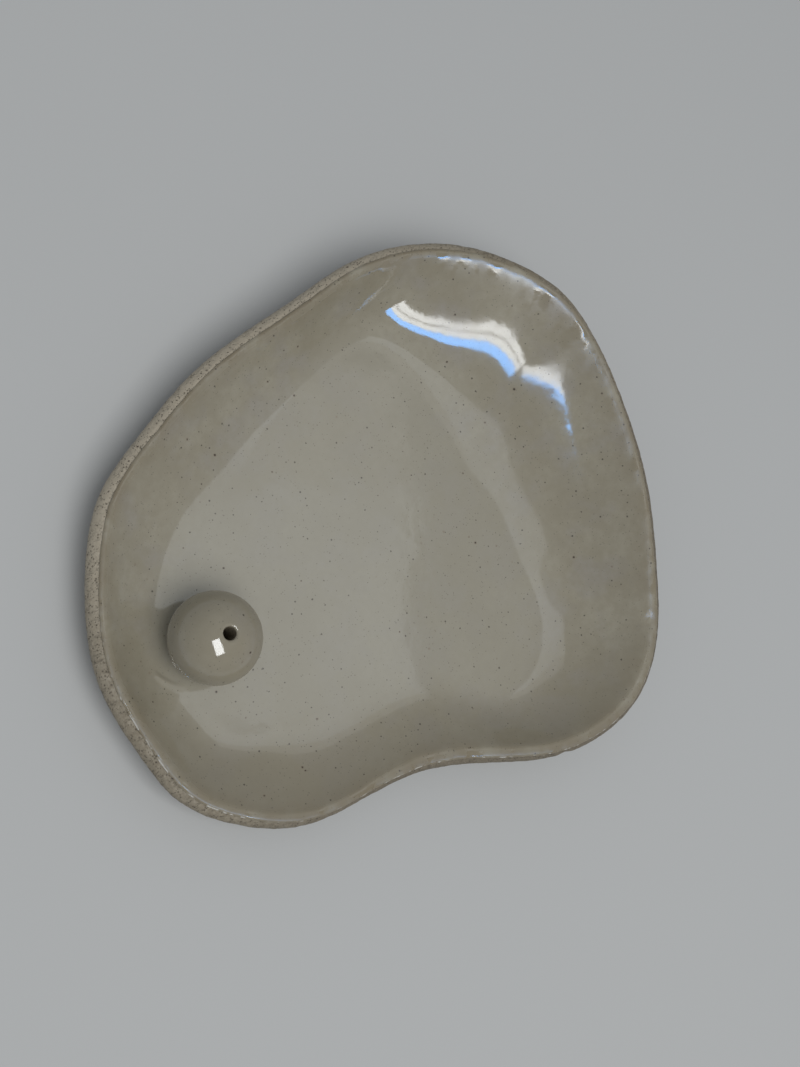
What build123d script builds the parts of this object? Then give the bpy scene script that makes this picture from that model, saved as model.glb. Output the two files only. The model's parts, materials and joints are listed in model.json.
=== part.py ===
from build123d import *
import os
from math import hypot, sqrt

# An incense stick holder in millimetres: a free-form stoneware dish with a pierced ball fired onto it.
# +X runs along the dish, away from the ball. +Z is up. The origin is on the table, under the middle.

# Dish
DISH_LENGTH = 143.0  # outside, along X
DISH_WIDTH = 123.0  # outside, along Y
SLAB = 4.8  # thickness of the rolled slab, and height of its bare floor
RIM_RISE = 16.8  # floor to crest, where the rim is highest
WALL_RUN = 41.5  # cut edge to the flat floor, where the wall is longest
FOOT_STEP = 1.4  # how much further out the underside leaves the table than the face leaves the floor
GLAZE = 0.4  # thickness of the glaze coat

# Ball
BALL_DIAMETER = 19.0  # over its glaze
SEAT_DIAMETER = 9.0  # flat pressed on the ball where it is luted down
SLIP_PROUD = 0.2  # how much the slip pad stands above the dish's glaze
HOLE_DIAMETER = 2.8  # stick hole
HOLE_FLOOR = 4.5  # clay left between the hole and the seat
MOUTH_STEP = 0.35  # how much wider than the hole the glaze is open, all round
COAT_FIT = 0.03  # hairline between the ball's clay and its glaze
FILLET_REACH = 2.6  # pooled glaze round the ball's foot, outward from the slip
FILLET_RISE = 1.2  # pooled glaze round the ball's foot, upward from the dish's glaze
BALL_MARGIN = 0.6  # flat floor left between the pooled glaze and the foot of the wall

# The outline's lobes and waist. Each row is a place along half the length and half the width, then how much
# of the rim's rise and of the wall's run the dish has there. The ball stands behind a row of its own.
BALL_ROW_SHARES = (-0.91, 0.53, 0.35, 0.366)
OUTLINE_SHARES = (
    (0.56, -0.74, 0.85, 0.72),
    (0.75, -0.49, 0.94, 0.80),
    (0.88, -0.23, 0.99, 0.88),
    (0.97, 0.02, 1.00, 0.98),
    (1.00, 0.23, 1.00, 1.00),
    (0.94, 0.46, 0.98, 0.88),
    (0.83, 0.66, 0.90, 0.69),
    (0.66, 0.82, 0.79, 0.46),
    (0.48, 0.90, 0.70, 0.39),
    (0.33, 0.93, 0.63, 0.39),
    (0.14, 0.97, 0.57, 0.43),
    (-0.08, 1.00, 0.50, 0.48),
    (-0.32, 0.98, 0.44, 0.51),
    (-0.54, 0.93, 0.40, 0.50),
    (-0.70, 0.81, 0.38, 0.44),
    (-0.84, 0.65, 0.36, 0.39),
    BALL_ROW_SHARES,
    (-0.98, 0.27, 0.35, 0.37),
    (-1.00, 0.10, 0.35, 0.38),
    (-0.95, -0.09, 0.34, 0.39),
    (-0.82, -0.29, 0.33, 0.38),
    (-0.61, -0.42, 0.32, 0.37),
    (-0.45, -0.52, 0.33, 0.36),
    (-0.31, -0.67, 0.39, 0.38),
    (-0.13, -0.88, 0.49, 0.45),
    (0.04, -0.98, 0.57, 0.52),
    (0.20, -1.00, 0.66, 0.59),
    (0.40, -0.91, 0.75, 0.66),
)

# The slab's rounded edge, as shares of the slab's thickness: in from the outline and down from the crest.
# The lip goes from the crest in to the wall, and the cut edge from the crest out to the lower corner.
LIP_SHARES = ((0.54, 0.00), (0.72, 0.03), (0.90, 0.13))
CUT_EDGE_SHARES = ((0.54, 0.00), (0.20, 0.14), (0.00, 0.46), (0.09, 0.78), (0.38, 0.95))
WALL_STEP_SHARES = (1.0, 0.65, 0.3, 0.15, 0.0)  # rings of a wall, from its top down to its foot
WALL_FOOT_SHARE = 0.9  # how much of a wall's run curves up from the flat before it goes straight

# Worked out from the sizes above
COATED_RADIUS = BALL_DIAMETER / 2
BALL_RADIUS = COATED_RADIUS - GLAZE
SEAT_RADIUS = SEAT_DIAMETER / 2
HOLE_RADIUS = HOLE_DIAMETER / 2
SEAT_DROP = sqrt(BALL_RADIUS**2 - SEAT_RADIUS**2)
SLIP_RADIUS = sqrt(COATED_RADIUS**2 - SEAT_DROP**2)
GLAZE_TOP = SLAB + GLAZE
SLIP_TOP = GLAZE_TOP + SLIP_PROUD
BALL_HEIGHT = SLIP_TOP + SEAT_DROP
BALL_TOP = BALL_HEIGHT + COATED_RADIUS
HOLE_BOTTOM = SLIP_TOP + HOLE_FLOOR
POOL_RADIUS = SLIP_RADIUS + FILLET_REACH
POOL_MEETS_BALL = sqrt(COATED_RADIUS**2 - (BALL_HEIGHT - GLAZE_TOP - FILLET_RISE) ** 2)


def inset_point(row, inset, height):
    """A point in from one row of the outline, towards the dish's middle, at a height."""
    x = row[0] * DISH_LENGTH / 2
    y = row[1] * DISH_WIDTH / 2
    keep = 1 - inset / hypot(x, y)
    return Vector(x * keep, y * keep, height)


def ring_steps():
    """Where each outline row falls along the outline, so that all rings run alike."""
    corners = [inset_point(row, 0, 0) for row in OUTLINE_SHARES]
    steps = [0.0]
    for here, there in zip(corners, corners[1:] + corners[:1]):
        steps.append(steps[-1] + (there - here).length)
    return steps


def ring(inset_and_height):
    """A closed smooth ring round the dish, from each outline row's inset and height."""
    points = []
    for row in OUTLINE_SHARES:
        points.append(inset_point(row, *inset_and_height(row)))
    return Wire([Edge.make_spline(points, periodic=True, parameters=ring_steps())])


def edge_place(row, shares, lift):
    """Inset and height on the slab's rounded edge, lifted by the glaze."""
    return shares[0] * SLAB, SLAB + RIM_RISE * row[2] - shares[1] * SLAB + lift


def climb_share(run_share):
    """How much of its rise a wall has made after a share of its run."""
    if run_share < WALL_FOOT_SHARE:
        risen = run_share**2 / (2 * WALL_FOOT_SHARE)
    else:
        risen = run_share - WALL_FOOT_SHARE / 2
    return risen / (1 - WALL_FOOT_SHARE / 2)


def slope_place(foot, top, run_share):
    """Inset and height on a wall, from those of its foot and of its top."""
    inset = foot[0] + (top[0] - foot[0]) * run_share
    return inset, foot[1] + (top[1] - foot[1]) * climb_share(run_share)


def wall_place(row, run_share, lift):
    """Inset and height on the inner wall, from the floor at 0 to the lip at 1, lifted by the glaze."""
    foot = (WALL_RUN * row[3], SLAB + lift)
    return slope_place(foot, edge_place(row, LIP_SHARES[-1], lift), run_share)


def underside_place(row, run_share):
    """Inset and height on the underside, from the table at 0 to the cut edge at 1."""
    foot = (WALL_RUN * row[3] - FOOT_STEP, 0)
    return slope_place(foot, edge_place(row, CUT_EDGE_SHARES[-1], 0), run_share)


def face_bands(lift):
    """The dish's face as two bands of rings: the lip from the crest in, then the wall down to the floor."""
    lip = [ring(lambda row: edge_place(row, shares, lift)) for shares in LIP_SHARES]
    wall = [ring(lambda row: wall_place(row, share, lift)) for share in WALL_STEP_SHARES]
    return lip, wall


def back_bands():
    """The slab's back as two bands of rings: the cut edge from the crest out, then the underside."""
    edge = [ring(lambda row: edge_place(row, shares, 0)) for shares in CUT_EDGE_SHARES]
    under = [ring(lambda row: underside_place(row, share)) for share in WALL_STEP_SHARES]
    return edge, under


def band_faces(bands):
    """Smooth faces through the rings of each band."""
    faces = []
    for rings in bands:
        faces += Shell.make_loft(rings).faces()
    return faces


def closed_solid(faces):
    """The solid that a closed set of faces bounds."""
    return Solid(Shell(faces))


def ball_place():
    """Where the ball's axis stands: just inside the foot of the wall, behind its outline row."""
    inset = WALL_RUN * BALL_ROW_SHARES[3] + BALL_MARGIN + POOL_RADIUS
    return inset_point(BALL_ROW_SHARES, inset, 0)


def make_dish_slab():
    """The bare slab: its face, its cut edge and underside, and its flat floor and foot."""
    face = face_bands(0)
    back = back_bands()
    flats = [Face(face[-1][-1]), Face(back[-1][-1])]
    return closed_solid(band_faces(face) + band_faces(back) + flats)


def make_dish_glaze():
    """The glaze on the dish's face, with an opening for the slip under the ball."""
    under = face_bands(0)
    over = face_bands(GLAZE)
    end = [[under[0][0], over[0][0]]]
    flats = [Face(under[-1][-1]), Face(over[-1][-1])]
    coat = closed_solid(band_faces(under) + band_faces(over) + band_faces(end) + flats)
    return coat - ball_cut(SLIP_RADIUS, 0, SLIP_TOP)


def ball_cut(radius, floor, ceiling):
    """An upright cutter on the ball's axis, between two heights."""
    middle = (floor + ceiling) / 2
    return Pos(ball_place()) * Pos(0, 0, middle) * Cylinder(radius, ceiling - floor)


def ball_sphere(radius):
    """A whole sphere about the ball's centre."""
    return Pos(ball_place()) * Pos(0, 0, BALL_HEIGHT) * Sphere(radius)


def make_stick_ball():
    """The clay ball: flat where it is luted down, with its blind stick hole."""
    below_seat = ball_cut(BALL_DIAMETER, 0, SLIP_TOP)
    hole = ball_cut(HOLE_RADIUS, HOLE_BOTTOM, BALL_TOP)
    return ball_sphere(BALL_RADIUS) - below_seat - hole


def make_ball_glaze():
    """The glaze over the ball, open at the seat and at the hole's mouth."""
    below_seat = ball_cut(BALL_DIAMETER, 0, SLIP_TOP)
    mouth = ball_cut(HOLE_RADIUS + MOUTH_STEP, BALL_HEIGHT, BALL_TOP)
    return ball_sphere(COATED_RADIUS) - ball_sphere(BALL_RADIUS + COAT_FIT) - below_seat - mouth


def make_slip_joint():
    """The slip pad between the bare slab and the ball's flat seat."""
    return ball_cut(SLIP_RADIUS, SLAB, SLIP_TOP)


def make_glaze_fillet():
    """The glaze pooled in the crevice between the dish's glaze and the ball's, sloping up to the ball."""
    inner_radius = 2 * POOL_MEETS_BALL - POOL_RADIUS
    pool = Pos(0, 0, GLAZE_TOP + FILLET_RISE) * Cone(POOL_RADIUS, inner_radius, 2 * FILLET_RISE)
    slip = ball_cut(SLIP_RADIUS, SLAB, SLIP_TOP)
    return Pos(ball_place()) * pool - slip - ball_sphere(COATED_RADIUS)


PIECES = {
    "dish_slab": make_dish_slab,
    "dish_glaze": make_dish_glaze,
    "stick_ball": make_stick_ball,
    "ball_glaze": make_ball_glaze,
    "slip_joint": make_slip_joint,
    "glaze_fillet": make_glaze_fillet,
}

os.makedirs("parts", exist_ok=True)
for name, make in PIECES.items():
    export_step(make(), os.path.join("parts", name + ".step"))
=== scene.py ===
import json
from math import cos, pi, sin, sqrt

import bmesh
import bpy
import numpy as np
from bpy.props import FloatProperty, FloatVectorProperty, PointerProperty
from bpy.types import Operator, Panel, PropertyGroup
from mathutils import Matrix, Vector, noise


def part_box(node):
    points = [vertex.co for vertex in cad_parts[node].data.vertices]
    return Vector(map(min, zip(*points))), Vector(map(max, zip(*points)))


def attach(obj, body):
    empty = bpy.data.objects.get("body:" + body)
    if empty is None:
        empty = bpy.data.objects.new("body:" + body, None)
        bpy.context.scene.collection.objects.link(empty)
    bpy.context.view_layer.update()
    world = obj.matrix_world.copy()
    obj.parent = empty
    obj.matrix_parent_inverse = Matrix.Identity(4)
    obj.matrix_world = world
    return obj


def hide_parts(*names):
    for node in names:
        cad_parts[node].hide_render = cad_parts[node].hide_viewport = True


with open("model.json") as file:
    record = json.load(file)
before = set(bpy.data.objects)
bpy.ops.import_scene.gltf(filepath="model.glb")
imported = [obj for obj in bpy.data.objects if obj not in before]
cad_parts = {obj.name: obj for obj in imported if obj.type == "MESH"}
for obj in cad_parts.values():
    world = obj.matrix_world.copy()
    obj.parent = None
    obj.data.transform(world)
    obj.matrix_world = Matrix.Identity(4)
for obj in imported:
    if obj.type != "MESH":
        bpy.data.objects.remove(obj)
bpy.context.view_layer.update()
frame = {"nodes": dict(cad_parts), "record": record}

bl_info = {
    "name": "Incense dish",
    "version": (1, 0, 0),
    "blender": (4, 5, 0),
    "location": "View3D > Sidebar > Incense dish",
    "description": "Dresses a stoneware incense dish with its glaze, its pierced ball and a plain stage",
    "category": "Object",
}

MM = 0.001
SLAB_LOW, SLAB_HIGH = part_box("dish_slab")
PAD_LOW, PAD_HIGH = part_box("slip_joint")
POOL_LOW, POOL_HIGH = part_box("glaze_fillet")
BALL_LOW, BALL_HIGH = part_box("ball_glaze")
CLAY_LOW, CLAY_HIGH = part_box("stick_ball")
STICK_HOLE = next(m for m in frame["record"]["mounts"] if m["name"] == "stick_hole")

# Heights and places that the frame gives
FLOOR = PAD_LOW.z
GLAZE_TOP = POOL_LOW.z
COAT = GLAZE_TOP - FLOOR
SEAT = PAD_HIGH.z
BALL_X = (BALL_LOW.x + BALL_HIGH.x) / 2
BALL_Y = (BALL_LOW.y + BALL_HIGH.y) / 2
COATED_RADIUS = (BALL_HIGH.x - BALL_LOW.x) / 2
CLAY_RADIUS = (CLAY_HIGH.x - CLAY_LOW.x) / 2
PAD_RADIUS = (PAD_HIGH.x - PAD_LOW.x) / 2
BALL_HEIGHT = SEAT + sqrt(COATED_RADIUS**2 - PAD_RADIUS**2)
HOLE_RADIUS = STICK_HOLE["dims"]["r_mm"] * MM
HOLE_FLOOR = STICK_HOLE["pos_m"][2] - STICK_HOLE["dims"]["length_mm"] * MM / 2
POOL_RADIUS = (POOL_HIGH.x - POOL_LOW.x) / 2

# The outline's lobes and waist: a place along half the length and half the width, then how much of the
# rim's rise and of the wall's run the dish has there. The near wall starts to rise further in than the
# CAD's, and so stands up to about 1.5 mm higher.
OUTLINE_SHARES = (
    (0.56, -0.74, 0.85, 0.72), (0.75, -0.49, 0.94, 0.80), (0.88, -0.23, 0.99, 0.88),
    (0.97, 0.02, 1.00, 0.98), (1.00, 0.23, 1.00, 1.00), (0.94, 0.46, 0.98, 0.88),
    (0.83, 0.66, 0.90, 0.69), (0.66, 0.82, 0.79, 0.46), (0.48, 0.90, 0.70, 0.39),
    (0.33, 0.93, 0.63, 0.39), (0.14, 0.97, 0.57, 0.43), (-0.08, 1.00, 0.50, 0.48),
    (-0.32, 0.98, 0.44, 0.51), (-0.54, 0.93, 0.40, 0.50), (-0.70, 0.81, 0.38, 0.44),
    (-0.84, 0.65, 0.36, 0.39), (-0.91, 0.53, 0.35, 0.366), (-0.98, 0.27, 0.35, 0.37),
    (-1.00, 0.10, 0.35, 0.42), (-0.95, -0.09, 0.34, 0.54), (-0.82, -0.29, 0.33, 0.58),
    (-0.61, -0.42, 0.32, 0.52), (-0.45, -0.52, 0.33, 0.45), (-0.31, -0.67, 0.39, 0.45),
    (-0.13, -0.88, 0.49, 0.45), (0.04, -0.98, 0.57, 0.52), (0.20, -1.00, 0.66, 0.59),
    (0.40, -0.91, 0.75, 0.66),
)
# The slab's rounded edge as shares of its thickness: in from the outline, then down from the crest.
CREST_SHARES = (0.54, 0.00)
SHOULDER_SHARES = (0.20, 0.14)  # where the edge turns down from the crest
CUT_EDGE_SHARES = (
    (0.38, 0.95), (0.22, 0.89), (0.09, 0.78), (0.02, 0.64), (0.00, 0.46), (0.07, 0.28), SHOULDER_SHARES,
    (0.36, 0.04), CREST_SHARES,
)
LIP_SHARES = ((0.72, 0.03), (0.90, 0.13))
WALL_FOOT_SHARE = 0.9  # how much of a wall's run curves up from the flat before it goes straight
WALL_STEP_SHARES = (0.86, 0.73, 0.60, 0.48, 0.36, 0.24, 0.12)
FLOOR_STEP_SHARES = (0.93, 0.80, 0.64, 0.48, 0.32, 0.16, 0.03)
# Fewer rings do for the underside and for the skins under the glaze
HIDDEN_WALL_SHARES = (0.75, 0.50, 0.25)
UNDER_STEP_SHARES = (0.80, 0.60, 0.40, 0.20)
HIDDEN_FLOOR_SHARES = (0.92, 0.50, 0.03)
UNDER_BARE_SHARE = 0.6  # how rough the underside is left, the cut edge being 1
GLAZE_BACK_DROP = 0.1 * MM  # how far the face glaze's back lies below the slab solid's face
# The glaze's end, ring by ring: how far past its lap, with crest to shoulder as 1, then its lift as a share
# of the coat.
BEAD_SHARES = ((-0.06, -0.35), (0.00, 0.10), (-0.15, 0.62), (-0.41, 0.95))
BEAD_THIN_SHARES = (1.0, 1.0, 1.0, 0.9)  # how thin the glaze is drawn on those rings
LIP_THIN_SHARES = (0.65, 0.40, 0.12)  # and on the three rings in from them
LAP_TOWARDS = Vector((-0.5, -0.866))  # the glaze laps furthest over the edge on this side
LEAST_LAP_SHARE = 0.25  # how far it laps where the edge faces away from there, crest to shoulder being 1
MORE_LAP_SHARE = 0.62  # how much further it laps where the edge faces straight there
# The mouths of the ball's clay and of its glaze, in millimetres: out from the hole or the glaze's lip, then
# down from the top of the side.
CLAY_MOUTH_STEPS = ((0.25, 0.05), (0.12, 0.25), (0.12, 1.2))
GLAZE_MOUTH_STEPS = ((0.46, 0.0), (0.20, 0.09), (0.04, 0.30), (0.0, 0.60), (0.14, 1.0))
GLAZE_LIP = 0.10 * MM  # how much narrower than the hole the glaze's lip is, all round
CLAY_DROP = 0.08 * MM  # how far the ball's clay lies below its solid's face
# The pooled glaze's slope: shares of its reach out from the ball, then of its rise
POOL_SLOPE_SHARES = ((0.72, 0.07), (0.44, 0.22), (0.2, 0.52), (0.06, 0.92))
POOL_SINK = 0.08 * MM  # how far the pool's bottom lies below its solid's


class IncenseDishSizes(PropertyGroup):
    """Sizes of the dish and its ball."""
    length: FloatProperty(name="Length", description="Dish from end to end, outside", unit="LENGTH",
                          default=SLAB_HIGH.x - SLAB_LOW.x)
    width: FloatProperty(name="Width", description="Dish from side to side, outside", unit="LENGTH",
                         default=SLAB_HIGH.y - SLAB_LOW.y)
    crest: FloatProperty(name="Crest", description="Highest place of the bare rim above the table",
                         unit="LENGTH", default=SLAB_HIGH.z)
    wall_run: FloatProperty(name="Wall run", description="Cut edge to flat floor, where the wall is longest",
                            unit="LENGTH", default=41.5 * MM)
    foot_step: FloatProperty(name="Foot step", description="How much further out the foot leaves the table",
                             unit="LENGTH", default=1.4 * MM)
    under_gap: FloatProperty(name="Clay under glaze", unit="LENGTH", default=0.3 * MM,
                             description="How far the clay under the glaze lies below its solid's face")
    roughness: FloatProperty(name="Cut roughness", unit="LENGTH", default=0.16 * MM,
                             description="Depth of the grog's roughness on the cut edge")


class IncenseDishFinish(PropertyGroup):
    """Colours of the clay and its glaze."""
    glaze_pale: FloatVectorProperty(name="Glaze, thick", description="Glaze where it lies thick",
                                    subtype="COLOR", size=4, default=(0.352, 0.330, 0.264, 1))
    # Also laid over the near wall of the face as painted shade.
    glaze_deep_and_shade: FloatVectorProperty(name="Glaze, thin", description="Glaze where the body shows through",
                                    subtype="COLOR", size=4, default=(0.268, 0.243, 0.182, 1))
    glaze_cool: FloatVectorProperty(name="Glaze, cool", description="Cool grey drifts in the glaze",
                                    subtype="COLOR", size=4, default=(0.315, 0.298, 0.270, 1))
    # Laid paler over the flat floor, as pooled glaze and partly as painted sheen.
    glaze_pooled_and_sheen: FloatVectorProperty(name="Glaze, pooled", subtype="COLOR", size=4,
                                      description="Glaze run together on the flat floor",
                                      default=(0.378, 0.361, 0.304, 1))
    glaze_rim: FloatVectorProperty(name="Glaze at the rim", description="Glaze drawn thin over the crest",
                                   subtype="COLOR", size=4, default=(0.230, 0.196, 0.136, 1))
    # Painted glints, laid as a broken pale line where the glaze ends on the near side.
    painted_end_glints: FloatVectorProperty(name="Glaze end", description="Painted glints where the glaze ends",
                                   subtype="COLOR", size=4, default=(0.70, 0.70, 0.67, 1))
    iron: FloatVectorProperty(name="Iron specks", description="Iron burnt through the glaze", subtype="COLOR",
                              size=4, default=(0.030, 0.022, 0.016, 1))
    rust: FloatVectorProperty(name="Rust specks", description="Rust-red halo of the larger specks",
                              subtype="COLOR", size=4, default=(0.145, 0.075, 0.040, 1))
    clay: FloatVectorProperty(name="Clay", description="Bare fired clay", subtype="COLOR", size=4,
                              default=(0.290, 0.252, 0.186, 1))
    # Also laid as painted shade in the pits of the cut edge and over its near side.
    clay_dark_and_shade: FloatVectorProperty(name="Clay, dark", description="Bare clay in its hollows", subtype="COLOR",
                                   size=4, default=(0.105, 0.086, 0.060, 1))
    clay_flush: FloatVectorProperty(name="Clay, flushed", description="Pale sandy flush on the bare clay",
                                    subtype="COLOR", size=4, default=(0.330, 0.295, 0.233, 1))
    # Painted light, laid over the far side of the bare clay.
    clay_painted_light: FloatVectorProperty(name="Clay, pale", description="Bare clay on the lighter far side",
                                   subtype="COLOR", size=4, default=(0.50, 0.45, 0.36, 1))
    slip: FloatVectorProperty(name="Slip", description="Fired joining slip", subtype="COLOR", size=4,
                              default=(0.320, 0.280, 0.230, 1))
    gloss: FloatProperty(name="Glaze roughness", description="Micro-roughness of the glaze", subtype="FACTOR",
                         min=0, max=1, default=0.07)
    backdrop: FloatVectorProperty(name="Floor", description="Plain pale floor", subtype="COLOR", size=4,
                                  default=(0.54, 0.555, 0.565, 1))


# Mesh helpers

def row_weights(per_row):
    """Weights that carry values from the outline's rows to evenly spread columns, along a closed spline."""
    sizes = bpy.context.scene.incense_sizes
    corners = np.array(OUTLINE_SHARES)[:, :2] * (sizes.length / 2, sizes.width / 2)
    gaps = np.linalg.norm(np.roll(corners, -1, 0) - corners, axis=1)
    count = len(gaps)
    bend = np.zeros((count, count))
    pull = np.zeros((count, count))
    for here in range(count):
        before, after = here - 1, (here + 1) % count
        bend[here, [before, here, after]] = gaps[before], 2 * (gaps[before] + gaps[here]), gaps[here]
        pull[here, before] = 6 / gaps[before]
        pull[here, after] = 6 / gaps[here]
        pull[here, here] = -6 / gaps[before] - 6 / gaps[here]
    curve = np.linalg.solve(bend, pull)
    rows = np.eye(count)
    weights = []
    for here in range(count):
        after = (here + 1) % count
        for step in range(per_row):
            to = step / per_row
            fro = 1 - to
            bow = (fro**3 - fro) * curve[here] + (to**3 - to) * curve[after]
            weights.append(fro * rows[here] + to * rows[after] + bow * gaps[here] ** 2 / 6)
    return np.array(weights)


class Outline:
    """The dish's rings, worked from its outline rows and carried to evenly spread columns."""

    def __init__(self, per_row):
        self.sizes = bpy.context.scene.incense_sizes
        rows = np.array(OUTLINE_SHARES)
        corners = rows[:, :2] * (self.sizes.length / 2, self.sizes.width / 2)
        self.reach = np.linalg.norm(corners, axis=1)
        self.out = corners / self.reach[:, None]
        self.rise = (self.sizes.crest - FLOOR) * rows[:, 2]
        self.run = self.sizes.wall_run * rows[:, 3]
        self.weights = row_weights(per_row)

    def ring(self, inset, height):
        """Points of one ring, from each row's inset and height."""
        flat = self.out * (self.reach - inset)[:, None]
        points = np.column_stack((flat, np.broadcast_to(height, len(flat))))
        return self.weights @ points

    def edge(self, shares, lift=0):
        """Inset and height on the slab's rounded edge."""
        return np.full(len(self.reach), shares[0] * FLOOR), FLOOR + self.rise - shares[1] * FLOOR + lift

    def lap(self, share, lift):
        """Ring of the glaze's end, a share past its lap over the crest, lifted by a share of the coat."""
        facing = np.clip(self.out @ np.array(LAP_TOWARDS), 0, 1)
        over = LEAST_LAP_SHARE + MORE_LAP_SHARE * facing**2 * (3 - 2 * facing) + share
        inset = CREST_SHARES[0] + (SHOULDER_SHARES[0] - CREST_SHARES[0]) * over
        down = SHOULDER_SHARES[1] * FLOOR * np.clip(over, 0, 1) ** 2
        return self.ring(inset * FLOOR, FLOOR + self.rise - down + lift * COAT)

    @staticmethod
    def slope(foot, top, share):
        """Inset and height on a wall that curves up from its foot and then goes straight to its top."""
        curve = WALL_FOOT_SHARE
        risen = share**2 / (2 * curve) if share < curve else share - curve / 2
        return foot[0] + (top[0] - foot[0]) * share, foot[1] + (top[1] - foot[1]) * risen / (1 - curve / 2)

    def wall(self, share, lift):
        """Ring on the inner wall, from the floor at 0 to the lip at 1."""
        return self.ring(*self.slope((self.run, FLOOR + lift), self.edge(LIP_SHARES[-1], lift), share))

    def under(self, share):
        """Ring on the underside, from the table at 0 to the cut edge at 1."""
        foot = (self.run - self.sizes.foot_step, 0)
        return self.ring(*self.slope(foot, self.edge(CUT_EDGE_SHARES[0]), share))

    def face(self, lift, wall_shares=WALL_STEP_SHARES, floor_shares=FLOOR_STEP_SHARES):
        """Rings of the dish's face, from the lip down the wall and in over the floor."""
        rings = [self.ring(*self.edge(shares, lift)) for shares in LIP_SHARES]
        rings += [self.wall(share, lift) for share in wall_shares]
        foot = self.wall(0, lift)
        rings.append(foot)
        rings += [foot * (share, share, 1) for share in floor_shares]
        return rings

    def hidden_face(self, lift):
        """Rings of a face under the glaze."""
        return self.face(lift, HIDDEN_WALL_SHARES, HIDDEN_FLOOR_SHARES)

    def foot(self):
        """Rings of the flat foot, from its middle out to where it leaves the table."""
        edge = self.under(0)
        return [edge * (share, share, 1) for share in reversed(HIDDEN_FLOOR_SHARES)] + [edge]


def ring_mesh(rings, marks):
    """A skin pulled ring by ring out of a circle, open at its two ends, with a mark for each ring."""
    mesh = bmesh.new()
    thin = mesh.verts.layers.float.new("thin")
    along = mesh.verts.layers.float_vector.new("edge_run")
    loop = bmesh.ops.create_circle(mesh, segments=len(rings[0]), radius=1)["verts"]
    end = list(mesh.edges)
    for place, ring in enumerate(rings):
        if place:
            made = bmesh.ops.extrude_edge_only(mesh, edges=end)["geom"]
            fresh = {item for item in made if isinstance(item, bmesh.types.BMVert)}
            edges = [item for item in made if isinstance(item, bmesh.types.BMEdge)]
            end = [edge for edge in edges if all(vert in fresh for vert in edge.verts)]
            loop = [next(e.other_vert(v) for e in v.link_edges if e.other_vert(v) in fresh) for v in loop]
        turn = 2 * pi / len(loop)
        for step, vert in enumerate(loop):
            vert.co = ring[step]
            vert[thin] = marks[place]
            vert[along] = (cos(step * turn), sin(step * turn), place / len(rings))
    bmesh.ops.recalc_face_normals(mesh, faces=mesh.faces)
    return mesh


def spun_mesh(profile, centre, steps):
    """A profile of (radius, height) spun about an upright axis, with its ends on the axis drawn together."""
    mesh = bmesh.new()
    verts = [mesh.verts.new((centre[0] + radius, centre[1], height)) for radius, height in profile]
    edges = [mesh.edges.new(pair) for pair in zip(verts, verts[1:])]
    bmesh.ops.spin(mesh, geom=verts + edges, cent=(centre[0], centre[1], 0), axis=(0, 0, 1), angle=2 * pi,
                   steps=steps, use_merge=True)
    bmesh.ops.remove_doubles(mesh, verts=mesh.verts, dist=0.001 * MM)
    bmesh.ops.recalc_face_normals(mesh, faces=mesh.faces)
    return mesh


def close_ends(mesh):
    """Draws each open end of a skin together in one point."""
    worked = bmesh.new()
    worked.from_mesh(mesh)
    left = {vert for vert in worked.verts if vert.is_boundary}
    while left:
        end = [left.pop()]
        for vert in end:
            near = [edge.other_vert(vert) for edge in vert.link_edges if edge.is_boundary]
            end += [other for other in near if other in left]
            left.difference_update(near)
        middle = sum((vert.co for vert in end), Vector()) / len(end)
        bmesh.ops.pointmerge(worked, verts=end, merge_co=middle)
    worked.to_mesh(mesh)
    worked.free()


def finished(name, mesh, levels, move=None):
    """The bmesh made a smooth, subdivided object, its surface then worked over by a move of each place."""
    rough = bpy.data.meshes.new(name)
    mesh.to_mesh(rough)
    mesh.free()
    piece = bpy.data.objects.new(name, rough)
    bpy.context.scene.collection.objects.link(piece)
    soft = piece.modifiers.new("Soft clay", "SUBSURF")
    soft.levels = soft.render_levels = levels
    smooth = bpy.data.meshes.new_from_object(piece.evaluated_get(bpy.context.evaluated_depsgraph_get()))
    piece.modifiers.clear()
    piece.data = smooth
    smooth.name = name
    bpy.data.meshes.remove(rough)
    close_ends(smooth)
    if move:
        count = len(smooth.vertices)
        places, normals, thin = np.zeros(count * 3), np.zeros(count * 3), np.zeros(count)
        smooth.vertices.foreach_get("co", places)
        smooth.vertex_normals.foreach_get("vector", normals)
        if "thin" in smooth.attributes:
            smooth.attributes["thin"].data.foreach_get("value", thin)
        around = zip(places.reshape(-1, 3), normals.reshape(-1, 3), thin)
        moved = [move(Vector(place), Vector(normal), share) for place, normal, share in around]
        smooth.vertices.foreach_set("co", np.array(moved).ravel())
        smooth.update()
    smooth.shade_smooth()
    return piece


def dress(piece, slot, material, *nodes):
    """Gives a piece its material and its CAD body, and hides the CAD nodes that it stands for. The slot is
    not used.
    """
    piece.data.materials.clear()
    piece.data.materials.append(material)
    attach(piece, "root")
    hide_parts(*nodes)


def eased(share):
    """0 to 1 with soft ends."""
    share = min(max(share, 0), 1)
    return share * share * (3 - 2 * share)


# Small marks that a maker's hands left, as a place on the dish, a reach and a height
RIM_NOTCH = (Vector((28.4, -50.9, 19.0)) * MM, 1.6 * MM, -0.5 * MM)
EDGE_CHIP = (Vector((-6.7, -54.8, 11.0)) * MM, 1.2 * MM, -0.5 * MM)
RIM_CREASE = (Vector((-42.9, -25.2, 10.0)) * MM, 1.4 * MM, -0.25 * MM)
# A drip of glaze by the ball, seen from above
DRIP_PLACES = ((-55.6, 25.6), (-55.4, 23.2), (-54.6, 20.6), (-52.8, 18.3))
GLAZE_DRIP = tuple(Vector(place) * MM for place in DRIP_PLACES)
DRIP_REACH = 0.95 * MM
DRIP_HEIGHT = 0.36 * MM
DRIP_START_SHARE = 0.2  # how much of its length the drip takes to rise
DRIP_END_SHARE = 0.3  # and to fade
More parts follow.
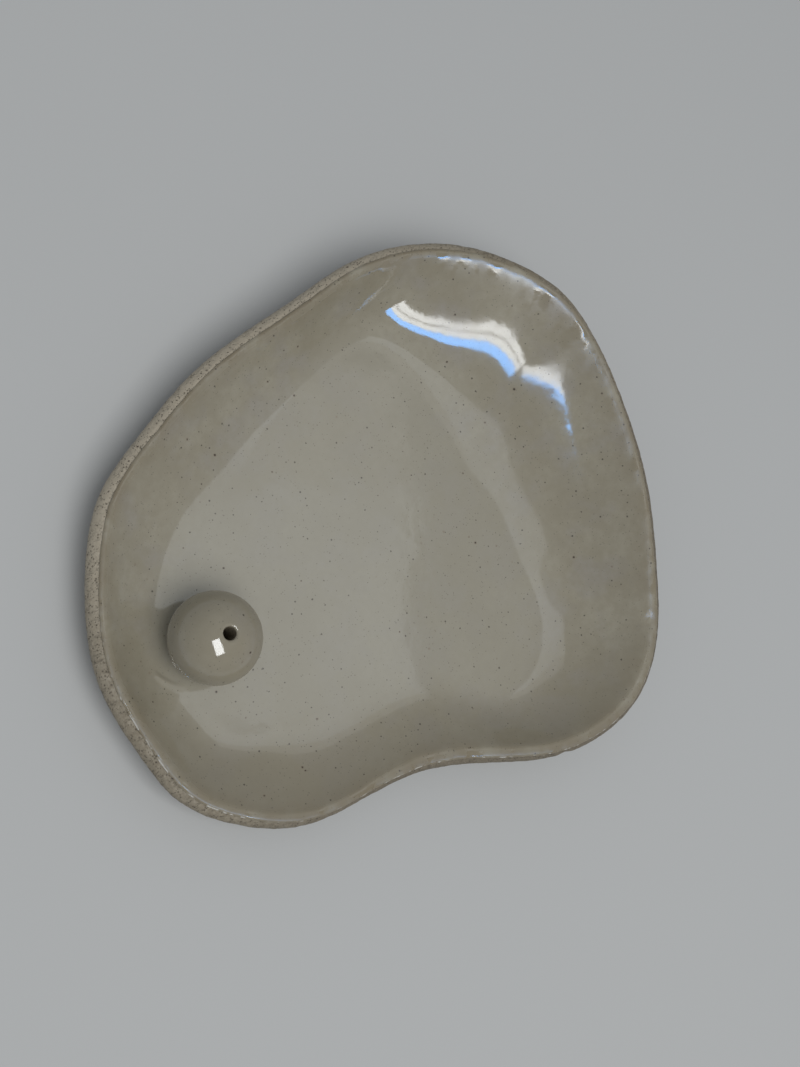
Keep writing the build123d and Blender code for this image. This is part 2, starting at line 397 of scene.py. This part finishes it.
# Unevenness as layers of noise: waves to a metre, where in the noise they start, and a height in millimetres
SLAB_WAVES = ((22, Vector(), 0.20), (55, Vector((3, 7, 1)), 0.05))
GLAZE_WAVES = ((38, Vector((1, 4, 8)), 0.05), (110, Vector(), 0.022), (260, Vector((2, 5, 5)), 0.010))
GLAZE_CRAWL = ((620, Vector((6, 2, 3)), 0.09), (210, Vector(), 0.10))
BALL_WAVES = ((60, Vector(), 0.05),)
CRAWL_SINK = 0.04  # how far the crawled glaze lies lower, in millimetres
# The grog's layers, with heights as shares of the cut edge's roughness
GROG_WAVES = ((420, Vector(), 0.5), (900, Vector((5, 1, 2)), 0.4), (2100, Vector((2, 9, 4)), 0.35))
GROG_SINK = 0.6  # how far the worked edge lies lower, as such a share
WARP_FADE = 4 * MM  # the slab's unevenness is whole from this height above the floor
LUMP_FADE = 3 * MM  # the ball's lumps grow over this distance from the hole and from the seat
LUMP_CLEAR_SHARE = 0.6  # how much of that distance is left even round the hole's axis
POOL_WAVER = 1.6  # how quickly the pool's outer edge wavers round the ball
POOL_SWING = 0.9  # how far it wavers, in millimetres


def dented(place, mark):
    """How much a mark lifts or sinks the surface at a place."""
    middle, reach, height = mark
    gap = (place - middle).length / reach
    return height * eased(1 - gap / 2) if gap < 2 else 0


def beside(place, line):
    """Distance from a place to a line seen from above, and how far along the line that is, from 0 to 1."""
    flat = place.xy
    best = (1.0, 0.0)
    for step, (start, end) in enumerate(zip(line, line[1:])):
        along = end - start
        share = min(max((flat - start).dot(along) / along.length_squared, 0), 1)
        best = min(best, ((flat - start - along * share).length, (step + share) / (len(line) - 1)))
    return best


def uneven(place, waves):
    """Layers of noise at a place, added up."""
    return sum(noise.noise(place * scale + start) * height for scale, start, height in waves)


def slab_warp(place):
    """Slow hand-made unevenness that the slab and its glaze share, none at the foot."""
    lifted = eased(place.z / (FLOOR + WARP_FADE))
    return Vector((0, 0, uneven(place, SLAB_WAVES) * MM * lifted))


def work_cut_edge(place, normal, thin):
    """The slab's surface worked over: slow unevenness, then grog, the rim's notch and the edge's chip."""
    sizes = bpy.context.scene.incense_sizes
    depth = sizes.roughness * (uneven(place, GROG_WAVES) - GROG_SINK) * thin
    depth += dented(place, RIM_NOTCH) + dented(place, EDGE_CHIP)
    return place + slab_warp(place) + normal * depth


def work_face_glaze(place, normal, thin):
    """The glaze's surface worked over: slow unevenness, long soft waves, and the marks left in it."""
    height = uneven(place, GLAZE_WAVES) * MM + dented(place, RIM_NOTCH) + dented(place, RIM_CREASE)
    height += (uneven(place, GLAZE_CRAWL) - CRAWL_SINK) * MM * thin
    gap, share = beside(place, GLAZE_DRIP)
    ends = eased(share / DRIP_START_SHARE), eased((1 - share) / DRIP_END_SHARE)
    height += DRIP_HEIGHT * eased(1 - gap / DRIP_REACH) * ends[0] * ends[1]
    return place + slab_warp(place) + normal * height


def work_ball(place, normal, thin):
    """The ball's surface, rolled by hand and so not quite round."""
    away = (Vector((BALL_X, BALL_Y)) - place.xy).length
    from_hole = eased(away / LUMP_FADE - LUMP_CLEAR_SHARE)
    lump = uneven(place, BALL_WAVES) * from_hole * eased((place.z - SEAT) / LUMP_FADE)
    return place + normal * (lump * MM)


def work_pool(place, normal, thin):
    """The pooled glaze, drawn further in on some sides than on others."""
    out = Vector((place.x - BALL_X, place.y - BALL_Y, 0))
    reach = eased((out.length - PAD_RADIUS) / (POOL_RADIUS - PAD_RADIUS))
    way = out.normalized()
    return place + way * ((noise.noise(way * POOL_WAVER) - 0.5) * POOL_SWING * MM * reach)


# Shader helpers

SPECK_WANDER = 0.22 * MM  # how far the specks' edges stray
NEAR_SIDE = (-0.7, -0.7, 0.0)  # a way across the dish, from its middle towards its near side
GLAZE_IOR = 1.58
# Iron specks in the glaze, finest first: cells to a metre, the share of cells with a speck, the largest
# radius as a share of a cell, the halo's radius as so many of the speck's, then how strongly the halo and
# the speck show.
GLAZE_SPECKS = (
    (1900.0, 0.34, 0.320, 2.0, 0.00, 0.38),
    (760.0, 0.40, 0.200, 2.0, 0.00, 0.72),
    (300.0, 0.34, 0.085, 1.8, 0.30, 0.85),
    (80.0, 0.26, 0.036, 1.6, 0.45, 0.92),
)


def put(tree, kind, inputs, **settings):
    """Adds a shader node, gives it its settings, and fills or links its inputs."""
    made = tree.nodes.new(kind)
    made.location.x = 190 * len(tree.nodes)
    for key, value in settings.items():
        setattr(made, key, value)
    for key, value in inputs.items():
        if isinstance(value, bpy.types.NodeSocket):
            tree.links.new(value, made.inputs[key])
        else:
            made.inputs[key].default_value = value
    return made


def sums(tree, operation, first, second):
    """Two values put together by a Math node."""
    return put(tree, "ShaderNodeMath", {0: first, 1: second}, operation=operation).outputs[0]


def ranged(tree, value, low, high, to_low=0.0, to_high=1.0):
    """A value drawn softly from one range to another."""
    inputs = {"Value": value, "From Min": low, "From Max": high, "To Min": to_low, "To Max": to_high}
    return put(tree, "ShaderNodeMapRange", inputs, interpolation_type="SMOOTHSTEP").outputs[0]


def laid_over(tree, share, under, over):
    """One colour laid over another by a share."""
    return put(tree, "ShaderNodeMix", {0: share, 6: under, 7: over}, data_type="RGBA").outputs[2]


def clouds(tree, place, scale, detail=3.0, roughness=0.55):
    """A noise value."""
    inputs = {"Vector": place, "Scale": scale, "Detail": detail, "Roughness": roughness}
    return put(tree, "ShaderNodeTexNoise", inputs).outputs[0]


def new_group(name, inputs, outputs):
    """A shader node group with named float and vector sockets, and its input and output nodes."""
    group = bpy.data.node_groups.new(name, "ShaderNodeTree")
    for socket, value in inputs:
        kind = "NodeSocketVector" if value is None else "NodeSocketFloat"
        made = group.interface.new_socket(name=socket, in_out="INPUT", socket_type=kind)
        if value is not None:
            made.default_value = value
    for socket in outputs:
        group.interface.new_socket(name=socket, in_out="OUTPUT", socket_type="NodeSocketFloat")
    return group, group.nodes.new("NodeGroupInput").outputs, group.nodes.new("NodeGroupOutput").inputs


def specks_group():
    """Iron specks of random size: a mask for the speck and a wider one for its halo."""
    inputs = (("Vector", None), ("Per metre", 800.0), ("Share", 0.5), ("Size", 0.3), ("Halo", 1.6))
    group, given, out = new_group("Iron specks", inputs, ("Speck", "Halo"))
    wander = put(group, "ShaderNodeTexNoise", {"Vector": given["Vector"], "Scale": 2600.0, "Detail": 1.0})
    shift = {0: wander.outputs["Color"], 1: (SPECK_WANDER,) * 3}
    drift = put(group, "ShaderNodeVectorMath", shift, operation="MULTIPLY")
    place = put(group, "ShaderNodeVectorMath", {0: given["Vector"], 1: drift.outputs[0]}, operation="ADD")
    cells = put(group, "ShaderNodeTexVoronoi", {"Vector": place.outputs[0], "Scale": given["Per metre"]})
    lot = put(group, "ShaderNodeSeparateColor", {0: cells.outputs["Color"]}).outputs
    present = sums(group, "LESS_THAN", lot[0], given["Share"])
    spread = ranged(group, lot[1], 0.0, 1.0, 0.35, 1.0)
    radius = sums(group, "MULTIPLY", spread, given["Size"])
    core = ranged(group, cells.outputs["Distance"], radius, sums(group, "MULTIPLY", radius, 0.55))
    halo = ranged(group, cells.outputs["Distance"], sums(group, "MULTIPLY", radius, given["Halo"]),
                  sums(group, "MULTIPLY", radius, 0.7))
    group.links.new(sums(group, "MULTIPLY", core, present), out["Speck"])
    group.links.new(sums(group, "MULTIPLY", halo, present), out["Halo"])
    return group


def mottle_group():
    """Soft mottling at two scales, from 0 to 1."""
    inputs = (("Vector", None), ("Broad", 55.0), ("Fine", 380.0))
    group, given, out = new_group("Mottle", inputs, ("Cloud", "Grain"))
    broad = clouds(group, given["Vector"], given["Broad"])
    fine = clouds(group, given["Vector"], given["Fine"], 4.0, 0.72)
    group.links.new(ranged(group, broad, 0.32, 0.68), out["Cloud"])
    group.links.new(ranged(group, fine, 0.28, 0.72), out["Grain"])
    return group


def shared(maker, name):
    """A node group, made once."""
    return bpy.data.node_groups.get(name) or maker()


def specks(tree, place, per_metre, share, size, halo):
    """A layer of iron specks."""
    inputs = {"Vector": place, "Per metre": per_metre, "Share": share, "Size": size, "Halo": halo}
    return put(tree, "ShaderNodeGroup", inputs, node_tree=shared(specks_group, "Iron specks")).outputs


def mottle(tree, place, broad, fine):
    """A layer of mottling."""
    inputs = {"Vector": place, "Broad": broad, "Fine": fine}
    return put(tree, "ShaderNodeGroup", inputs, node_tree=shared(mottle_group, "Mottle")).outputs


def new_material(name):
    """A material with its Principled shader and Object coordinates."""
    material = bpy.data.materials.new(name)
    material.use_nodes = True
    tree = material.node_tree
    shader = tree.nodes["Principled BSDF"]
    place = put(tree, "ShaderNodeTexCoord", {}).outputs["Object"]
    return material, tree, shader, place


def speckled_glaze(rim):
    """Semi-opaque speckled glaze, glossy, drawn thin and warm over the crest where the piece has one."""
    name = "Speckled glaze with rim" if rim else "Speckled glaze"
    if name in bpy.data.materials:
        return bpy.data.materials[name]
    finish = bpy.context.scene.incense_finish
    material, tree, shader, place = new_material(name)
    soft = mottle(tree, place, 70.0, 560.0)
    body = laid_over(tree, sums(tree, "MULTIPLY", soft["Cloud"], 0.66), finish.glaze_pale, finish.glaze_deep_and_shade)
    elsewhere = put(tree, "ShaderNodeVectorMath", {0: place, 1: (0.3, 0.1, 0.2)}).outputs[0]
    drift = ranged(tree, clouds(tree, elsewhere, 90.0), 0.45, 0.65)
    body = laid_over(tree, sums(tree, "MULTIPLY", drift, 0.6), body, finish.glaze_cool)
    body = laid_over(tree, sums(tree, "MULTIPLY", soft["Grain"], 0.42), body, finish.glaze_deep_and_shade)
    if rim:
        thin = put(tree, "ShaderNodeAttribute", {}, attribute_name="thin").outputs["Fac"]
        run = put(tree, "ShaderNodeAttribute", {}, attribute_name="edge_run").outputs["Vector"]
        inward = put(tree, "ShaderNodeSeparateXYZ", {0: run}).outputs["Z"]
        aim = {0: place, 1: NEAR_SIDE}
        near = put(tree, "ShaderNodeVectorMath", aim, operation="DOT_PRODUCT").outputs["Value"]
        # Darker towards the near wall as painted shade, paler on the flat as pooled glaze and partly painted
        # sheen, worn at the crest, and a broken pale line where the coat ends as painted glints. Inward runs
        # ring by ring from the middle of the back at 0, round the coat's end, to the middle of the face.
        body = laid_over(tree, ranged(tree, near, 15 * MM, 48 * MM, 0.0, 0.75), body, finish.glaze_deep_and_shade)
        body = laid_over(tree, ranged(tree, inward, 0.58, 0.80, 0.0, 0.62), body, finish.glaze_pooled_and_sheen)
        worn = sums(tree, "MULTIPLY", thin, ranged(tree, clouds(tree, place, 160.0), 0.25, 0.6))
        body = laid_over(tree, worn, body, finish.glaze_rim)
        # Painted glints: a broken pale line on the ring where the glaze ends, on the near side only.
        roll = sums(tree, "MULTIPLY", ranged(tree, inward, 0.315, 0.335), ranged(tree, inward, 0.380, 0.355))
        broken_glints = ranged(tree, clouds(tree, place, 420.0, 2.0), 0.50, 0.60, 0.0, 0.75)
        broken_glints = sums(tree, "MULTIPLY", broken_glints, ranged(tree, near, 5 * MM, 35 * MM))
        body = laid_over(tree, sums(tree, "MULTIPLY", roll, broken_glints), body, finish.painted_end_glints)
    else:
        body = laid_over(tree, 0.5, body, finish.glaze_deep_and_shade)
    for per_metre, share, size, halo, ringed, burnt in GLAZE_SPECKS:
        made = specks(tree, place, per_metre, share, size, halo)
        if ringed:
            body = laid_over(tree, sums(tree, "MULTIPLY", made["Halo"], ringed), body, finish.rust)
        body = laid_over(tree, sums(tree, "MULTIPLY", made["Speck"], burnt), body, finish.iron)
    tree.links.new(body, shader.inputs["Base Color"])
    gloss = ranged(tree, soft["Cloud"], 0.0, 1.0, finish.gloss * 0.75, finish.gloss * 1.3)
    if rim:
        dull = sums(tree, "MULTIPLY", thin, ranged(tree, clouds(tree, place, 210.0), 0.37, 0.50))
        gloss = sums(tree, "ADD", gloss, sums(tree, "MULTIPLY", dull, 0.40))
    tree.links.new(gloss, shader.inputs["Roughness"])
    shader.inputs["IOR"].default_value = GLAZE_IOR
    peel = clouds(tree, place, 620.0, 2.0)
    skin = put(tree, "ShaderNodeBump", {"Height": peel, "Strength": 0.04, "Distance": 0.2 * MM})
    tree.links.new(skin.outputs[0], shader.inputs["Normal"])
    return material


def bare_stoneware():
    """Bare fired clay, cut and left rough: grog, pits, drag marks across the cut, and a sandy flush."""
    if "Bare stoneware" in bpy.data.materials:
        return bpy.data.materials["Bare stoneware"]
    finish = bpy.context.scene.incense_finish
    material, tree, shader, place = new_material("Bare stoneware")
    soft = mottle(tree, place, 60.0, 700.0)
    body = laid_over(tree, sums(tree, "MULTIPLY", soft["Cloud"], 0.5), finish.clay, finish.clay_flush)
    body = laid_over(tree, sums(tree, "MULTIPLY", soft["Grain"], 0.35), body, finish.clay_dark_and_shade)
    run = put(tree, "ShaderNodeAttribute", {}, attribute_name="edge_run").outputs["Vector"]
    stretched = put(tree, "ShaderNodeMapping", {"Vector": run, "Scale": (66.0, 66.0, 9.0)}).outputs[0]
    cut = put(tree, "ShaderNodeAttribute", {}, attribute_name="thin").outputs["Fac"]
    drag = ranged(tree, clouds(tree, stretched, 1.0, 4.0, 0.7), 0.52, 0.70)
    drag = sums(tree, "MULTIPLY", drag, ranged(tree, cut, 0.62, 0.95))
    body = laid_over(tree, sums(tree, "MULTIPLY", drag, 0.45), body, finish.clay_dark_and_shade)
    across = put(tree, "ShaderNodeSeparateXYZ", {0: place}).outputs["Y"]
    # Paler on the far side and darker on the near one, in place of light that the soft lamp doesn't give
    body = laid_over(tree, ranged(tree, across, 30 * MM, 58 * MM, 0.0, 0.65), body, finish.clay_painted_light)
    body = laid_over(tree, ranged(tree, across, 5 * MM, -32 * MM, 0.0, 0.50), body, finish.clay_dark_and_shade)
    grog = specks(tree, place, 1900.0, 0.50, 0.45, 1.4)
    pits = specks(tree, place, 2300.0, 0.46, 0.48, 1.4)
    iron = specks(tree, place, 420.0, 0.24, 0.16, 1.6)
    body = laid_over(tree, sums(tree, "MULTIPLY", grog["Speck"], 0.45), body, finish.clay_flush)
    # The pits are laid darker, as painted shade in them.
    body = laid_over(tree, sums(tree, "MULTIPLY", pits["Speck"], 0.85), body, finish.clay_dark_and_shade)
    body = laid_over(tree, sums(tree, "MULTIPLY", iron["Halo"], 0.25), body, finish.rust)
    body = laid_over(tree, sums(tree, "MULTIPLY", iron["Speck"], 0.80), body, finish.iron)
    tree.links.new(body, shader.inputs["Base Color"])
    tree.links.new(ranged(tree, soft["Grain"], 0.0, 1.0, 0.55, 0.85), shader.inputs["Roughness"])
    relief = sums(tree, "ADD", sums(tree, "MULTIPLY", clouds(tree, place, 1500.0, 4.0, 0.7), 0.6),
                  sums(tree, "MULTIPLY", grog["Speck"], 0.25))
    relief = sums(tree, "SUBTRACT", relief, sums(tree, "MULTIPLY", pits["Halo"], 0.6))
    relief = sums(tree, "SUBTRACT", relief, sums(tree, "MULTIPLY", drag, 0.5))
    skin = put(tree, "ShaderNodeBump", {"Height": relief, "Strength": 0.75, "Distance": 0.3 * MM})
    tree.links.new(skin.outputs[0], shader.inputs["Normal"])
    return material


def fired_slip():
    """Fired joining slip, smooth and dull."""
    finish = bpy.context.scene.incense_finish
    material, tree, shader, place = new_material("Fired slip")
    soft = mottle(tree, place, 120.0, 900.0)
    body = laid_over(tree, sums(tree, "MULTIPLY", soft["Grain"], 0.6), finish.slip, finish.clay_dark_and_shade)
    iron = specks(tree, place, 400.0, 0.4, 0.18, 1.5)
    body = laid_over(tree, sums(tree, "MULTIPLY", iron["Speck"], 0.7), body, finish.iron)
    tree.links.new(body, shader.inputs["Base Color"])
    tree.links.new(ranged(tree, soft["Cloud"], 0.0, 1.0, 0.6, 0.8), shader.inputs["Roughness"])
    skin = put(tree, "ShaderNodeBump", {"Height": soft["Grain"], "Strength": 0.4, "Distance": 0.2 * MM})
    tree.links.new(skin.outputs[0], shader.inputs["Normal"])
    return material


# The stage's lamps. A place is a direction from the origin, the way that the lamp's second side lies, and a
# distance. A shift moves the lamp along its first side.
LAMP_WATTS = 4  # power for each square metre of a lamp at a radiance of 1
DAYLIGHT = (0.97, 0.99, 1.0)
SKY_BLUE = (0.13, 0.44, 1.0)
OVERHEAD = ((-0.24, -0.26, 0.935), (0.0, 1.0, 0.0), 1.2)
BALL_WINDOW = ((-0.472, -0.173, 0.868), (0.26, 0.86, 0.43), 1.2)
WINDOW = ((-0.419, -0.469, 0.778), (-0.029, 0.863, 0.504), 1.238)
FAR_WINDOW = ((-0.464, 0.086, 0.882), (-0.541, 0.748, -0.385), 1.277)
CARD = ((0.27, -0.06, 0.97), (-0.675, 0.738, 0.0), 0.83)
ON_FACE = ("face_glaze",)
ON_BALL = ("glazed_ball", "glaze_pool", "stoneware_slab")
# Each lamp's name, place, size, radiance, colour, shift, and the pieces that show it
LAMPS = (
    ("Soft main light", OVERHEAD, (0.8, 0.8), 2.9, (1.0, 0.985, 0.955), 0.0, ()),
    ("Window on the ball", BALL_WINDOW, (0.40, 0.83), 10.0, DAYLIGHT, -0.03, ON_BALL),
    ("Window, outer pane", WINDOW, (0.055, 1.18), 7.5, DAYLIGHT, -0.035, ON_FACE),
    ("Window, inner pane", WINDOW, (0.055, 1.18), 7.5, DAYLIGHT, 0.03, ON_FACE),
    ("Sky in the window", WINDOW, (0.08, 1.18), 13.0, SKY_BLUE, 0.10, ON_FACE),
    ("Window, far pane", FAR_WINDOW, (0.070, 0.36), 7.5, DAYLIGHT, -0.005, ON_FACE),
    ("Sky in the far pane", FAR_WINDOW, (0.022, 0.36), 13.0, SKY_BLUE, 0.041, ON_FACE),
    ("Pale card", CARD, (0.205, 0.4), 0.64, (0.94, 1.0, 1.05), -0.0375, ON_FACE),
    ("Dull card", CARD, (0.105, 0.4), 0.36, (1.0, 1.0, 0.97), 0.1175, ON_FACE),
)
SKY_COLOUR = (0.97, 1.0, 1.03, 1)
SKY_STRENGTH = 0.30
# The camera, high above the dish on the ball's side
CAMERA_PLACE = Vector((-117.122, 65.060, 259.788)) * MM
CAMERA_RIGHT = Vector((0.57722, -0.68791, 0.44))
CAMERA_UP = Vector((0.69865, 0.69497, 0.17))
LENS = 43.86  # in millimetres, as the sensor is
SENSOR = 36.0
NEAREST_SEEN = 10 * MM


# Operators

class INCENSE_OT_slab(Operator):
    """Roll and cut the bare stoneware slab"""
    bl_idname = "incense.slab"
    bl_label = "Stoneware slab"

    def execute(self, context):
        outline = Outline(per_row=8)
        gap = context.scene.incense_sizes.under_gap
        foot = outline.foot()
        under = [outline.under(share) for share in reversed(UNDER_STEP_SHARES)]
        edge = [outline.ring(*outline.edge(shares)) for shares in CUT_EDGE_SHARES]
        face = outline.hidden_face(-gap)
        rings = foot + under + edge + face
        marks = [0.0] * len(foot) + [UNDER_BARE_SHARE] * len(under) + [1.0] * len(edge) + [0.0] * len(face)
        piece = finished("stoneware_slab", ring_mesh(rings, marks), levels=2, move=work_cut_edge)
        dress(piece, "bare_stoneware", bare_stoneware(), "dish_slab")
        return {"FINISHED"}


class INCENSE_OT_face_glaze(Operator):
    """Pour the glaze over the dish's face, to just past its crest"""
    bl_idname = "incense.face_glaze"
    bl_label = "Face glaze"

    def execute(self, context):
        outline = Outline(per_row=6)
        back = outline.hidden_face(-GLAZE_BACK_DROP)[::-1]
        bead = [outline.lap(share, lift) for share, lift in BEAD_SHARES]
        front = outline.face(COAT)
        marks = [0.0] * len(back) + [*BEAD_THIN_SHARES, *LIP_THIN_SHARES]
        marks += [0.0] * (len(front) - len(LIP_THIN_SHARES))
        piece = finished("face_glaze", ring_mesh(back + bead + front, marks), levels=2, move=work_face_glaze)
        dress(piece, "speckled_glaze", speckled_glaze(True), "dish_glaze")
        return {"FINISHED"}


class INCENSE_OT_ball(Operator):
    """Roll the ball, pierce it for the stick and glaze it"""
    bl_idname = "incense.ball"
    bl_label = "Pierced ball"

    @staticmethod
    def arc(radius, from_radius, to_radius, steps):
        """Places on the ball from low on its side, at one distance from the axis, to high near its mouth."""
        start = -sqrt(1 - (from_radius / radius) ** 2)
        end = sqrt(1 - (to_radius / radius) ** 2)
        low, high = np.arcsin(start), np.arcsin(end)
        turns = np.linspace(low, high, steps)
        return [(radius * cos(turn), BALL_HEIGHT + radius * sin(turn)) for turn in turns]

    @staticmethod
    def mouth_places(radius, top, steps):
        """Places round a mouth, from steps out from a radius and down from the top."""
        return [(radius + out * MM, top - down * MM) for out, down in steps]

    def execute(self, context):
        centre = (BALL_X, BALL_Y)
        hole = HOLE_RADIUS
        clay = CLAY_RADIUS - CLAY_DROP
        seat = sqrt(CLAY_RADIUS**2 - (BALL_HEIGHT - SEAT) ** 2)
        side = self.arc(clay, seat, hole + 0.55 * MM, steps=18)
        top = side[-1][1]
        mouth = self.mouth_places(hole, top, CLAY_MOUTH_STEPS)
        bore = [(hole, top - 1.5 * MM), (hole, (top + HOLE_FLOOR) / 2), (hole, HOLE_FLOOR + 0.3 * MM)]
        bore += [(hole * 0.8, HOLE_FLOOR), (0, HOLE_FLOOR)]
        foot = [(0, SEAT), (seat * 0.6, SEAT), (seat * 0.94, SEAT)]
        piece = finished("clay_ball", spun_mesh(foot + side + mouth + bore, centre, steps=48), levels=1)
        dress(piece, "bare_stoneware", bare_stoneware(), "stick_ball")
        side = self.arc(COATED_RADIUS, PAD_RADIUS, hole + 0.60 * MM, steps=24)
        top = side[-1][1]
        mouth = self.mouth_places(hole - GLAZE_LIP, top, GLAZE_MOUTH_STEPS)
        mouth.append((hole + 0.09 * MM, top - 0.62 * MM))
        inside = self.arc(clay + 0.04 * MM, seat + 0.05 * MM, hole + 0.35 * MM, steps=18)[::-1]
        coat = spun_mesh(side + mouth + inside + side[:1], centre, steps=64)
        piece = finished("glazed_ball", coat, levels=2, move=work_ball)
        dress(piece, "speckled_glaze", speckled_glaze(False), "ball_glaze")
        return {"FINISHED"}


class INCENSE_OT_pool(Operator):
    """Let the glaze pool round the ball's foot, and finish the slip under it"""
    bl_idname = "incense.pool"
    bl_label = "Glaze pool and slip"

    def execute(self, context):
        low, high = POOL_LOW.z, POOL_HIGH.z
        meets = sqrt(COATED_RADIUS**2 - (BALL_HEIGHT - high) ** 2)
        step = POOL_RADIUS - meets
        rise = high - low
        bottom = low - POOL_SINK
        inner = PAD_RADIUS * 1.02
        profile = [(inner, bottom), (meets + step * 0.5, bottom), (POOL_RADIUS, bottom)]
        profile.append((POOL_RADIUS, low + rise * 0.02))
        profile += [(meets + step * out, low + rise * up) for out, up in POOL_SLOPE_SHARES]
        profile += [(meets - step * 0.08, high), (inner, low + rise * 0.5), (inner, bottom)]
        pool = spun_mesh(profile, (BALL_X, BALL_Y), steps=48)
        piece = finished("glaze_pool", pool, levels=2, move=work_pool)
        dress(piece, "speckled_glaze", speckled_glaze(False), "glaze_fillet")
        pad = frame["nodes"]["slip_joint"]
        pad.data.materials.clear()
        pad.data.materials.append(fired_slip())
        return {"FINISHED"}


class INCENSE_OT_stage(Operator):
    """Set the plain floor, the soft lights and the camera"""
    bl_idname = "incense.stage"
    bl_label = "Stage"

    @staticmethod
    def lamp(name, place, size, radiance, colour, shift, lit):
        """A soft rectangular lamp for plain light or, with pieces named, for a reflection in those alone."""
        towards, along, away = place
        data = bpy.data.lights.new(name, "AREA")
        data.shape = "RECTANGLE"
        data.size, data.size_y = size
        data.energy = radiance * size[0] * size[1] * LAMP_WATTS
        data.color = colour
        lamp = bpy.data.objects.new(name, data)
        back = Vector(towards).normalized()
        side = Vector(along).cross(back).normalized()
        turn = Matrix((side, back.cross(side), back)).transposed()
        lamp.matrix_world = Matrix.Translation(back * away + side * shift) @ turn.to_4x4()
        lamp.visible_camera = False
        lamp.visible_diffuse = not lit
        lamp.visible_glossy = bool(lit)
        bpy.context.scene.collection.objects.link(lamp)
        if lit:
            shown = bpy.data.collections.new(name)
            for piece in lit:
                shown.objects.link(bpy.data.objects[piece])
            lamp.light_linking.receiver_collection = shown

    def execute(self, context):
        scene = context.scene
        scene.view_settings.view_transform = "Standard"
        mesh = bmesh.new()
        bmesh.ops.create_grid(mesh, x_segments=4, y_segments=4, size=2)
        data = bpy.data.meshes.new("floor")
        mesh.to_mesh(data)
        mesh.free()
        floor = bpy.data.objects.new("floor", data)
        scene.collection.objects.link(floor)
        material = bpy.data.materials.new("Pale floor")
        material.use_nodes = True
        shader = material.node_tree.nodes["Principled BSDF"]
        shader.inputs["Base Color"].default_value = scene.incense_finish.backdrop
        shader.inputs["Roughness"].default_value = 0.9
        shader.inputs["Specular IOR Level"].default_value = 0.1
        data.materials.append(material)
        world = scene.world or bpy.data.worlds.new("World")
        scene.world = world
        world.use_nodes = True
        sky = world.node_tree.nodes["Background"]
        sky.inputs["Color"].default_value = SKY_COLOUR
        sky.inputs["Strength"].default_value = SKY_STRENGTH
        for lamp in LAMPS:
            self.lamp(*lamp)
        data = bpy.data.cameras.new("Camera")
        data.sensor_width = SENSOR
        data.lens = LENS
        data.clip_start = NEAREST_SEEN
        camera = bpy.data.objects.new("Camera", data)
        turn = Matrix((CAMERA_RIGHT, CAMERA_UP, CAMERA_RIGHT.cross(CAMERA_UP))).transposed()
        camera.matrix_world = Matrix.Translation(CAMERA_PLACE) @ turn.to_4x4()
        scene.collection.objects.link(camera)
        scene.camera = camera
        return {"FINISHED"}


class VIEW3D_PT_incense_dish(Panel):
    """The dish's pieces, sizes and finishes"""
    bl_label = "Incense dish"
    bl_space_type = "VIEW_3D"
    bl_region_type = "UI"
    bl_category = "Incense dish"

    def draw(self, context):
        for step in STEPS:
            self.layout.operator(step.bl_idname)
        for group in (context.scene.incense_sizes, context.scene.incense_finish):
            for name in group.__annotations__:
                self.layout.prop(group, name)


STEPS = (INCENSE_OT_slab, INCENSE_OT_face_glaze, INCENSE_OT_ball, INCENSE_OT_pool, INCENSE_OT_stage)
CLASSES = (IncenseDishSizes, IncenseDishFinish) + STEPS + (VIEW3D_PT_incense_dish,)


def register():
    for made in CLASSES:
        bpy.utils.register_class(made)
    bpy.types.Scene.incense_sizes = PointerProperty(type=IncenseDishSizes)
    bpy.types.Scene.incense_finish = PointerProperty(type=IncenseDishFinish)


def unregister():
    del bpy.types.Scene.incense_finish
    del bpy.types.Scene.incense_sizes
    for made in reversed(CLASSES):
        bpy.utils.unregister_class(made)


def main():
    register()
    bpy.ops.incense.slab()
    bpy.ops.incense.face_glaze()
    bpy.ops.incense.ball()
    bpy.ops.incense.pool()
    bpy.ops.incense.stage()


if __name__ == "__main__":
    main()
